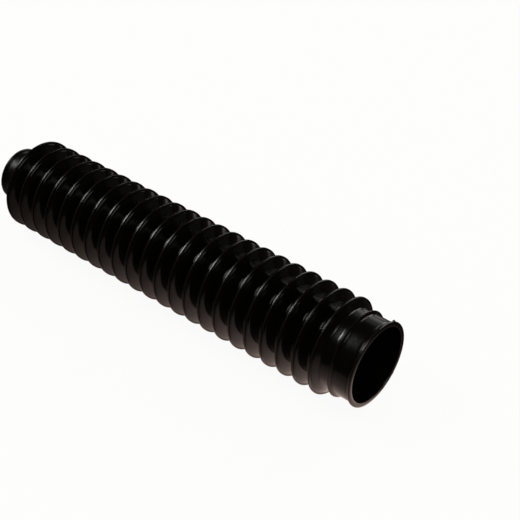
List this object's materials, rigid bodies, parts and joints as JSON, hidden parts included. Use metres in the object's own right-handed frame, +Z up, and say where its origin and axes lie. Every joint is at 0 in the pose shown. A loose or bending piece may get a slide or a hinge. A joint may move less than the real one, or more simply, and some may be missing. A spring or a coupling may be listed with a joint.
{
  "type": "fork gaiter",
  "caption": "Black rubber bellows for a motorcycle's front fork, open at both ends, with a wide clamping collar at one end and a narrow one at the other.",
  "frame": {"origin": "on the surface that the gaiter lies on, below the middle of its length", "axes": "+X along the gaiter's axis, out of the wide collar's mouth; +Z up; it lies on its rings"},
  "size_m": [0.3674, 0.0768, 0.0768],
  "materials": {
    "black_rubber": "glossy moulded rubber"
  },
  "bodies": {
    "root": {"gaiter": "black_rubber"}
  },
  "joints": []
}
